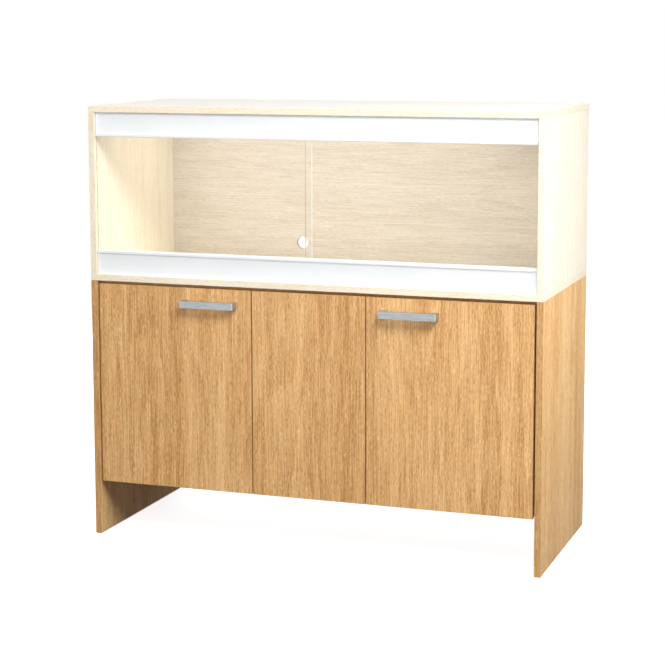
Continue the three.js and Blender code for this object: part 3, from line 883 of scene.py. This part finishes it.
def handles():
    for side in ("left", "right"):
        name = f"{side}_handle"
        low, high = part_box(name)
        inner = low.y + HANDLE_BAR
        near, far = low.x + HANDLE_LEG, high.x - HANDLE_LEG
        outline = rounded([
            (low.x, high.y, 0),
            (low.x, low.y, HANDLE_ROUND),
            (high.x, low.y, HANDLE_ROUND),
            (high.x, high.y, 0),
            (far, high.y, 0),
            (far, inner, HANDLE_ROUND),
            (near, inner, HANDLE_ROUND),
            (near, high.y, 0),
        ], HANDLE_STEPS)
        shape = prism(outline, low.z, high.z, lambda x, y, z: (x, y, z), HANDLE_ARRIS)
        piece = smoothed(linked(f"{side}_bow_handle", shape, (ALUMINIUM,)))
        placed_on(piece, f"{side}_leaf", slot_of(name), name)


def hinge_cup(side, level):
    """A pressed dish with a flange that rests on the door's back face."""
    name = f"{side}_{level}_hinge_cup"
    centre = middle(name)
    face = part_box(f"{side}_door")[1].y
    half_width, half_length = CUP_FLANGE_WIDTH / 2, CUP_FLANGE_LENGTH / 2
    corner = half_width * CUP_FLANGE_CORNER
    outline = rounded([
        (-half_width, -half_length, corner),
        (half_width, -half_length, corner),
        (half_width, half_length, corner),
        (-half_width, half_length, corner),
    ], FLANGE_STEPS)
    shape = prism(
        outline, face, face + CUP_FLANGE, lambda x, z, y: (centre.x + x, y, centre.z + z),
        PRESSED_ROUND,
    )
    piece = linked(f"{name}_pressing", shape, (NICKEL,))
    bottom = face - CUP_DEPTH
    dish = level_rod(centre, bottom, face + CUP_FLANGE / 2, CUP_RADIUS, HOLE_SIDES)
    combined(piece, dish, "UNION")
    hollow = level_rod(
        centre, bottom + CUP_FLOOR, face + CUP_DEPTH, CUP_RADIUS - CUP_WALL, HOLE_SIDES,
    )
    combined(piece, hollow, "DIFFERENCE")
    placed_on(smoothed(piece), f"{side}_leaf", slot_of(name), name)


def hinge_plate(side, level):
    """A cross-shaped plate screwed to the side board."""
    name = f"{side}_{level}_hinge_plate"
    low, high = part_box(name)
    centre = (low + high) / 2
    wall = low.x if side == "left" else high.x
    away = 1 if side == "left" else -1
    wing_length = (high.z - low.z) / 2
    wing = low.y + PLATE_SCREW_LINE
    half_wing, half_width = PLATE_WING / 2, PLATE_WIDTH / 2
    corners = [
        (low.y, -half_width), (wing - half_wing, -half_width), (wing - half_wing, -wing_length),
        (wing + half_wing, -wing_length), (wing + half_wing, -half_width), (high.y, -half_width),
    ]
    corners += [(y, -z) for y, z in reversed(corners)]
    outline = rounded([(y, z, PLATE_ROUND) for y, z in corners])
    shape = prism(
        outline, wall, wall + away * PLATE, lambda y, z, x: (x, y, centre.z + z), PRESSED_ROUND,
    )
    piece = smoothed(linked(f"{name}_casting", shape, (NICKEL,)))
    placed_on(piece, "carcass", slot_of(name), name)


def eased(name, node, body, width):
    """A finer copy of a node, with its corners eased."""
    shape = bmesh.new()
    shape.from_mesh(frame["nodes"][node].data)
    bmesh.ops.remove_doubles(shape, verts=shape.verts, dist=MERGED)
    bmesh.ops.dissolve_limit(
        shape, angle_limit=math.radians(FLAT_ANGLE), verts=shape.verts, edges=shape.edges,
    )
    piece = linked(name, shape, (NICKEL,))
    ease = piece.modifiers.new("ease", "BEVEL")
    ease.width = width
    ease.segments = 2
    ease.limit_method = "ANGLE"
    ease.angle_limit = math.radians(EASED_ANGLE)
    settled(piece)
    placed_on(smoothed(piece), body, slot_of(node), node)


def hinges():
    for side in ("left", "right"):
        for level in ("lower", "upper"):
            hinge = f"{side}_{level}_hinge"
            hinge_cup(side, level)
            hinge_plate(side, level)
            eased(f"{hinge}_cranked_arm", f"{hinge}_arm", "carcass", ARM_ARRIS)
            eased(f"{hinge}_hooked_link", f"{hinge}_link", f"{side}_links", LINK_ARRIS)


# ------------------------ what repeats


def tree_inputs(name, sizes):
    """A new geometry tree with named inputs, each (name, kind, value)."""
    tree = bpy.data.node_groups.new(name, "GeometryNodeTree")
    tree.interface.new_socket("Geometry", in_out="INPUT", socket_type="NodeSocketGeometry")
    for label, kind, value in sizes:
        socket = tree.interface.new_socket(label, in_out="INPUT", socket_type=kind)
        if value is not None:
            socket.default_value = value
    tree.interface.new_socket("Geometry", in_out="OUTPUT", socket_type="NodeSocketGeometry")
    return tree, add(tree, "NodeGroupInput").outputs


def set_out(tree, points, part, finish):
    """Ends a tree: the part on each point, turned to the point's `along`."""
    along = add(
        tree, "GeometryNodeInputNamedAttribute", {"Name": "along"}, data_type="FLOAT_VECTOR",
    )
    turn = add(
        tree, "FunctionNodeAlignRotationToVector", {"Vector": along.outputs[0]}, axis="Z",
    )
    set_on = add(tree, "GeometryNodeInstanceOnPoints", {
        "Points": points, "Instance": part, "Rotation": turn.outputs[0],
    })
    real = add(tree, "GeometryNodeRealizeInstances", {"Geometry": set_on.outputs[0]})
    done = add(tree, "GeometryNodeSetMaterial", {"Geometry": real.outputs[0], "Material": finish})
    add(tree, "NodeGroupOutput", {0: done.outputs[0]})


def fluted_ring(tree, given):
    """A dowel's section, dipped between its flutes."""
    points = maths(tree, "MULTIPLY", given["Flutes"], FLUTE_POINTS)
    ring = add(tree, "GeometryNodeCurvePrimitiveCircle", {
        "Resolution": points, "Radius": given["Radius"],
    })
    spot = add(tree, "GeometryNodeInputPosition").outputs[0]
    parts = add(tree, "ShaderNodeSeparateXYZ", {0: spot}).outputs
    angle = maths(tree, "ARCTAN2", parts[1], parts[0])
    wave = maths(tree, "COSINE", maths(tree, "MULTIPLY", angle, given["Flutes"]))
    dip = maths(tree, "MULTIPLY", maths(tree, "SUBTRACT", wave, 1.0), 0.5)
    share = maths(tree, "DIVIDE", given["Flute Depth"], given["Radius"])
    inward = add(tree, "ShaderNodeVectorMath", {
        0: spot, "Scale": maths(tree, "MULTIPLY", dip, share),
    }, operation="SCALE")
    fluted = add(tree, "GeometryNodeSetPosition", {
        "Geometry": ring.outputs[0], "Offset": inward.outputs[0],
    })
    return fluted.outputs[0]


def dowel_tree():
    """Fluted dowels with tapered ends."""
    tree, given = tree_inputs("fluted_dowels", [
        ("Radius", "NodeSocketFloat", DOWEL_RADIUS),
        ("Length", "NodeSocketFloat", DOWEL_LENGTH),
        ("Flutes", "NodeSocketInt", FLUTES),
        ("Flute Depth", "NodeSocketFloat", FLUTE_DEPTH),
        ("Taper", "NodeSocketFloat", DOWEL_CHAMFER),
        ("Finish", "NodeSocketMaterial", None),
    ])
    half = maths(tree, "MULTIPLY", given["Length"], 0.5)
    top = add(tree, "ShaderNodeCombineXYZ", {2: half})
    bottom = add(tree, "ShaderNodeCombineXYZ", {2: maths(tree, "MULTIPLY", half, -1.0)})
    line = add(tree, "GeometryNodeCurvePrimitiveLine", {
        "Start": bottom.outputs[0], "End": top.outputs[0],
    })
    fine = add(tree, "GeometryNodeResampleCurve", {
        "Curve": line.outputs[0], "Count": DOWEL_RINGS,
    })
    done = add(tree, "GeometryNodeSplineParameter").outputs["Factor"]
    from_end = maths(tree, "MINIMUM", done, maths(tree, "SUBTRACT", 1.0, done))
    run = maths(tree, "MULTIPLY", from_end, given["Length"])
    shoulder = maths(tree, "DIVIDE", run, given["Taper"], clamp=True)
    width = fused(tree, shoulder, 1 - DOWEL_TIP, DOWEL_TIP)
    tapered = add(tree, "GeometryNodeSetCurveRadius", {"Curve": fine.outputs[0], "Radius": width})
    swept = add(tree, "GeometryNodeCurveToMesh", {
        "Curve": tapered.outputs[0], "Profile Curve": fluted_ring(tree, given),
        "Fill Caps": True,
    })
    set_out(tree, given["Geometry"], swept.outputs[0], given["Finish"])
    return tree


def cross_tool(tree, given):
    """Two crossed blades that cut a screw's recess."""
    radius, height = given["Head Radius"], given["Head Height"]
    cross = add(tree, "GeometryNodeMeshBoolean", operation="UNION", solver="EXACT")
    for across, down in ((CROSS_LENGTH, CROSS_WIDTH), (CROSS_WIDTH, CROSS_LENGTH)):
        size = add(tree, "ShaderNodeCombineXYZ", {
            0: maths(tree, "MULTIPLY", radius, across),
            1: maths(tree, "MULTIPLY", radius, down),
            2: height,
        })
        blade = add(tree, "GeometryNodeMeshCube", {"Size": size.outputs[0]})
        tree.links.new(blade.outputs[0], cross.inputs["Mesh 2"])
    lift = add(tree, "ShaderNodeCombineXYZ", {2: maths(tree, "MULTIPLY", height, CROSS_RISE)})
    raised = add(tree, "GeometryNodeTransform", {
        "Geometry": cross.outputs[0], "Translation": lift.outputs[0],
    })
    return raised.outputs[0]


def screw_tree():
    """Screws with low tapered heads and a cross recess, sunk from each point's face."""
    tree, given = tree_inputs("cross_screws", [
        ("Head Radius", "NodeSocketFloat", HINGE_SCREW_RADIUS),
        ("Head Height", "NodeSocketFloat", HINGE_SCREW_HEAD),
        ("Shank Radius", "NodeSocketFloat", HINGE_SCREW_SHANK_RADIUS),
        ("Shank Length", "NodeSocketFloat", HINGE_SCREW_SHANK_LENGTH),
        ("Finish", "NodeSocketMaterial", None),
    ])
    head = add(tree, "GeometryNodeMeshCone", {
        "Vertices": HEAD_SIDES, "Side Segments": 1, "Fill Segments": 1,
        "Radius Top": maths(tree, "MULTIPLY", given["Head Radius"], HEAD_TAPER),
        "Radius Bottom": given["Head Radius"], "Depth": given["Head Height"],
    })
    cut = add(tree, "GeometryNodeMeshBoolean", operation="DIFFERENCE", solver="EXACT")
    tree.links.new(head.outputs[0], cut.inputs["Mesh 1"])
    tree.links.new(cross_tool(tree, given), cut.inputs["Mesh 2"])
    shank = add(tree, "GeometryNodeMeshCone", {
        "Vertices": SHANK_SIDES, "Radius Top": given["Shank Radius"],
        "Radius Bottom": given["Shank Radius"], "Depth": given["Shank Length"],
    })
    drop = maths(tree, "MULTIPLY", given["Shank Length"], -1.0)
    sunk = add(tree, "GeometryNodeTransform", {
        "Geometry": shank.outputs[0],
        "Translation": add(tree, "ShaderNodeCombineXYZ", {2: drop}).outputs[0],
    })
    both = add(tree, "GeometryNodeJoinGeometry")
    tree.links.new(sunk.outputs[0], both.inputs[0])
    tree.links.new(cut.outputs[0], both.inputs[0])
    set_out(tree, given["Geometry"], both.outputs[0], given["Finish"])
    return tree


def repeated(name, tree, spots, values):
    """One mesh of a tree's part at each spot, (point, direction)."""
    mesh = bpy.data.meshes.new(name)
    mesh.from_pydata([point for point, _ in spots], [], [])
    along = mesh.attributes.new("along", "FLOAT_VECTOR", "POINT")
    for index, (_, direction) in enumerate(spots):
        along.data[index].vector = direction
    piece = bpy.data.objects.new(name, mesh)
    bpy.context.scene.collection.objects.link(piece)
    maker = piece.modifiers.new("maker", "NODES")
    maker.node_group = tree
    inputs = [item for item in tree.interface.items_tree if item.in_out == "INPUT"]
    sockets = {item.name: item.identifier for item in inputs}
    for label, value in values.items():
        maker[sockets[label]] = value
    return settled(piece)


def dowels():
    nodes = dowels_in()
    spans = [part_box(node)[1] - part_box(node)[0] for node in nodes]
    spots = [(middle(node), on_axis(long_axis(span), 1)) for node, span in zip(nodes, spans)]
    values = {"Radius": min(spans[0]) / 2, "Length": max(spans[0]), "Finish": BEECH}
    piece = repeated("fluted_dowels", dowel_tree(), spots, values)
    placed_on(piece, "carcass", "beech_dowel", *nodes)


BACKWARDS = Vector((0, 1, 0))


def hinge_screw_spots(side):
    """The spots of the screws in one side's cups, plates and arms, each (point, direction)."""
    away = 1 if side == "left" else -1
    inwards = Vector((away, 0, 0))
    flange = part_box(f"{side}_door")[1].y + CUP_FLANGE
    on_cups, on_plates, on_arms = [], [], []
    for level in ("lower", "upper"):
        hinge = f"{side}_{level}_hinge"
        cup = middle(f"{hinge}_cup")
        low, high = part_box(f"{hinge}_plate")
        wall = low.x if side == "left" else high.x
        line = low.y + PLATE_SCREW_LINE
        for end in (-1, 1):
            rise = cup.z + end * CUP_SCREW_SPACING / 2
            on_cups.append((Vector((cup.x, flange, rise)), BACKWARDS))
            rise = cup.z + end * PLATE_SCREW_SPACING / 2
            on_plates.append((Vector((wall + away * PLATE, line, rise)), inwards))
        arm_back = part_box(f"{hinge}_arm")[1].y
        for back in ARM_SCREWS:
            spot = Vector((wall + away * ARM_FACE, arm_back - back, cup.z))
            on_arms.append((spot, inwards))
    return on_cups, on_plates, on_arms


def handle_screws(side, tree):
    nodes = [f"{side}_handle_screw_{end}" for end in ("inner", "outer")]
    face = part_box(f"{side}_door")[1].y
    spots = [(Vector((middle(n).x, face, middle(n).z)), BACKWARDS) for n in nodes]
    low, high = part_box(nodes[0])
    piece = repeated(f"{side}_handle_screws", tree, spots, {
        "Head Radius": (high.z - low.z) / 2, "Head Height": high.y - face,
        "Shank Radius": HANDLE_SCREW_SHANK, "Shank Length": face - low.y, "Finish": NICKEL,
    })
    placed_on(piece, f"{side}_leaf", "plated_steel", *nodes)


def screws():
    tree = screw_tree()
    plate_spots = []
    arm_spots = []
    for side in ("left", "right"):
        on_cups, on_plates, on_arms = hinge_screw_spots(side)
        plate_spots += on_plates
        arm_spots += on_arms
        piece = repeated(f"{side}_cup_screws", tree, on_cups, {"Finish": NICKEL})
        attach(piece, f"{side}_leaf")
        handle_screws(side, tree)
    piece = repeated("plate_screws", tree, plate_spots, {"Finish": NICKEL})
    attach(piece, "carcass")
    piece = repeated("arm_screws", tree, arm_spots, {
        "Head Radius": ARM_SCREW_RADIUS, "Head Height": ARM_SCREW_HEAD, "Finish": NICKEL,
    })
    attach(piece, "carcass")


# ------------------------ studio

FLOOR_SIZE = 60.0
FLOOR_SEEN = 0.8  # how much of the light on the floor shows
FLOOR_LIFT = 0.84  # what it shows without light
FLOOR_BOUNCE = 0.1  # how much of the light on it goes back to the object
SKY = 0.2  # light from all round
WHITE = (1.0, 1.0, 1.0, 1.0)
FRONT_TARGET = (0.0, -0.2, 0.7)
RIGHT_TARGET = (0.57, -0.1, 0.9)
LEFT_TARGET = (-0.57, 0.0, 0.6)
REAR_TARGET = (0.0, 0.0, 0.55)
CHAMBER_PLACE = (-0.06, 0.02)
CHAMBER_LAMP_DROP = 0.01  # from the vivarium's ceiling


def grey(share):
    return (share, share, share, 1.0)


def floor():
    """White to the lens and in mirrors, with the object's shadow, and dull to other light."""
    finish, tree = new_finish("pale_floor")
    path = add(tree, "ShaderNodeLightPath").outputs
    dull = add(tree, "ShaderNodeBsdfDiffuse", {"Color": grey(FLOOR_BOUNCE)})
    lit = add(tree, "ShaderNodeBsdfDiffuse", {"Color": grey(FLOOR_SEEN)})
    lift = add(tree, "ShaderNodeEmission", {"Color": WHITE, "Strength": FLOOR_LIFT})
    seen = add(tree, "ShaderNodeAddShader", {0: lit.outputs[0], 1: lift.outputs[0]}).outputs[0]
    white = add(tree, "ShaderNodeEmission", {"Color": WHITE, "Strength": 1.0}).outputs[0]
    mirrored = {0: path["Is Glossy Ray"], 1: dull.outputs[0], 2: white}
    unseen = add(tree, "ShaderNodeMixShader", mirrored).outputs[0]
    straight = maths(tree, "MAXIMUM", path["Is Camera Ray"], path["Is Transmission Ray"])
    ending(tree, add(tree, "ShaderNodeMixShader", {0: straight, 1: unseen, 2: seen}).outputs[0])
    shape = bmesh.new()
    bmesh.ops.create_grid(shape, x_segments=1, y_segments=1, size=FLOOR_SIZE / 2)
    linked("floor", shape, (finish,))


def surroundings():
    """White to the lens and in mirrors, and a weak light from all round."""
    world = bpy.data.worlds.new("surroundings")
    world.use_nodes = True
    tree = world.node_tree
    tree.nodes.clear()
    path = add(tree, "ShaderNodeLightPath").outputs
    mirrored = maths(tree, "MAXIMUM", path["Is Glossy Ray"], path["Is Transmission Ray"])
    seen = maths(tree, "MAXIMUM", path["Is Camera Ray"], mirrored)
    strength = spread(tree, seen, 0.0, 1.0, SKY, 1.0)
    sky = add(tree, "ShaderNodeBackground", {"Color": WHITE, "Strength": strength})
    add(tree, "ShaderNodeOutputWorld", {"Surface": sky.outputs[0]})
    bpy.context.scene.world = world


def lamp(name, place, target, size, watts, mirrored=False):
    """A soft box, (width, height). One that isn't mirrored leaves no white square in the glass."""
    light = bpy.data.lights.new(name, "AREA")
    light.shape = "RECTANGLE"
    light.size, light.size_y = size
    light.energy = watts
    held = bpy.data.objects.new(name, light)
    held.location = place
    held.rotation_euler = (Vector(target) - Vector(place)).to_track_quat("-Z", "Y").to_euler()
    held.visible_camera = False
    held.visible_glossy = mirrored
    held.visible_transmission = False
    bpy.context.scene.collection.objects.link(held)


def lamps():
    lamp("key_lamp", (1.6, -2.6, 3.2), FRONT_TARGET, (1.3, 1.3), watts=102.0, mirrored=True)
    lamp("low_lamp", (-0.1, -4.4, 1.3), FRONT_TARGET, (2.4, 2.0), watts=50.0)
    lamp("left_lamp", (-1.8, -3.7, 1.6), FRONT_TARGET, (1.6, 1.6), watts=14.0)
    lamp("side_lamp", (1.6, -0.9, 2.0), RIGHT_TARGET, (0.6, 0.6), watts=16.8, mirrored=True)
    lamp("side_fill_lamp", (1.5, -0.3, 0.75), RIGHT_TARGET, (0.6, 0.6), watts=6.5, mirrored=True)
    lamp("far_side_lamp", (-2.8, 0.1, 1.3), LEFT_TARGET, (1.6, 1.6), watts=34.0)
    lamp("rear_lamp", (-1.8, 2.8, 1.6), REAR_TARGET, (2.0, 2.0), watts=60.0)
    under_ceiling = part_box("vivarium_top_board")[0].z - CHAMBER_LAMP_DROP
    place = (*CHAMBER_PLACE, under_ceiling)
    lamp("chamber_lamp", place, (*CHAMBER_PLACE, 0.7), (0.9, 0.36), watts=1.3)


def camera():
    lens = bpy.data.cameras.new("camera")
    lens.sensor_width = SENSOR
    lens.lens = SENSOR * FOCAL_PIXELS / PHOTO_WIDTH
    lens.shift_y = (CENTRE_ROW - PHOTO_WIDTH / 2) / PHOTO_WIDTH
    held = bpy.data.objects.new("camera", lens)
    turn = (
        Matrix.Rotation(math.radians(CAMERA_YAW), 4, "Z")
        @ Matrix.Rotation(math.radians(90 - CAMERA_PITCH), 4, "X")
        @ Matrix.Rotation(math.radians(CAMERA_ROLL), 4, "Z")
    )
    held.matrix_world = Matrix.Translation(CAMERA_PLACE) @ turn
    bpy.context.scene.collection.objects.link(held)
    bpy.context.scene.camera = held


def studio():
    floor()
    surroundings()
    lamps()
    bpy.context.scene.view_settings.view_transform = "Standard"


# ------------------------ everything

camera()
vivarium_boards()
vivarium_back()
cabinet_sides()
cabinet_top_and_bottom()
cabinet_partition()
cabinet_centre_panel()
cabinet_back()
doors()
runners()
panes()
handles()
hinges()
dowels()
screws()
studio()
